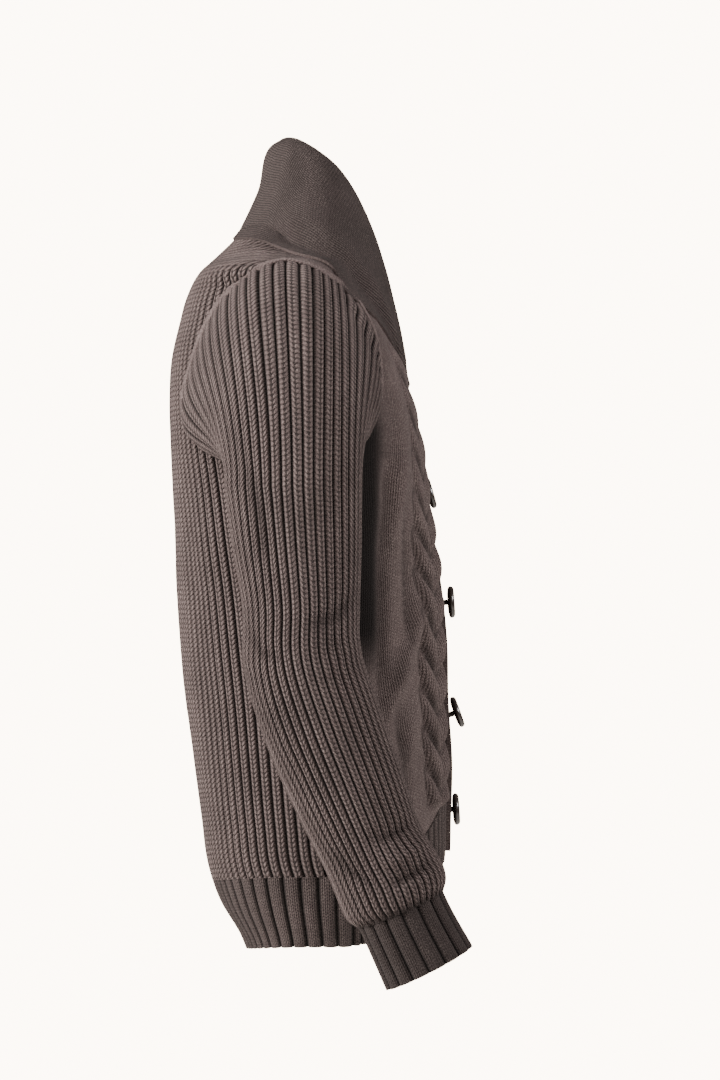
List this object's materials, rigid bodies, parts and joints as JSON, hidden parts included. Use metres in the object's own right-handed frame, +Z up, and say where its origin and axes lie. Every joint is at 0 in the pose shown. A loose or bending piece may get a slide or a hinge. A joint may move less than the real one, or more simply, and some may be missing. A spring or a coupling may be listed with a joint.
{
  "type": "shawl collar cardigan",
  "caption": "Buttoned knitted cardigan with a fold-over shawl collar, set-in ribbed sleeves and wide ribbed hem and cuffs, in its worn hollow form.",
  "frame": {"origin": "on the centre plane, where the shoulders carry the garment, just under the nape", "axes": "+Z up, -Y towards the buttoned front, -X towards the wearer's right sleeve"},
  "size_m": [0.619, 0.2909, 0.8174],
  "materials": {
    "chunky_rib": "thick wool half-cardigan rib, matt with a light nap, dark brown-grey",
    "plain_knit": "plain stocking stitch wool, matt, dark brown-grey",
    "wide_rib": "wide flat ribs of wool, matt, dark brown-grey",
    "fine_rib": "close fine rib of wool, matt, dark brown-grey",
    "horn": "dark brown horn, softly polished",
    "thread": "dark brown sewing thread"
  },
  "bodies": {
    "root": {"back": "chunky_rib", "front_right": "plain_knit", "front_left": "plain_knit", "hem_back": "wide_rib", "hem_front_right": "wide_rib", "hem_front_left": "wide_rib", "sleeve_right": "chunky_rib", "sleeve_left": "chunky_rib", "forearm_right": "chunky_rib", "forearm_left": "chunky_rib", "cuff_right": "wide_rib", "cuff_left": "wide_rib", "shawl_collar": "fine_rib", "button_1": "horn", "button_2": "horn", "button_3": "horn", "button_4": "horn", "shank_1": "thread", "shank_2": "thread", "shank_3": "thread", "shank_4": "thread"}
  },
  "joints": []
}
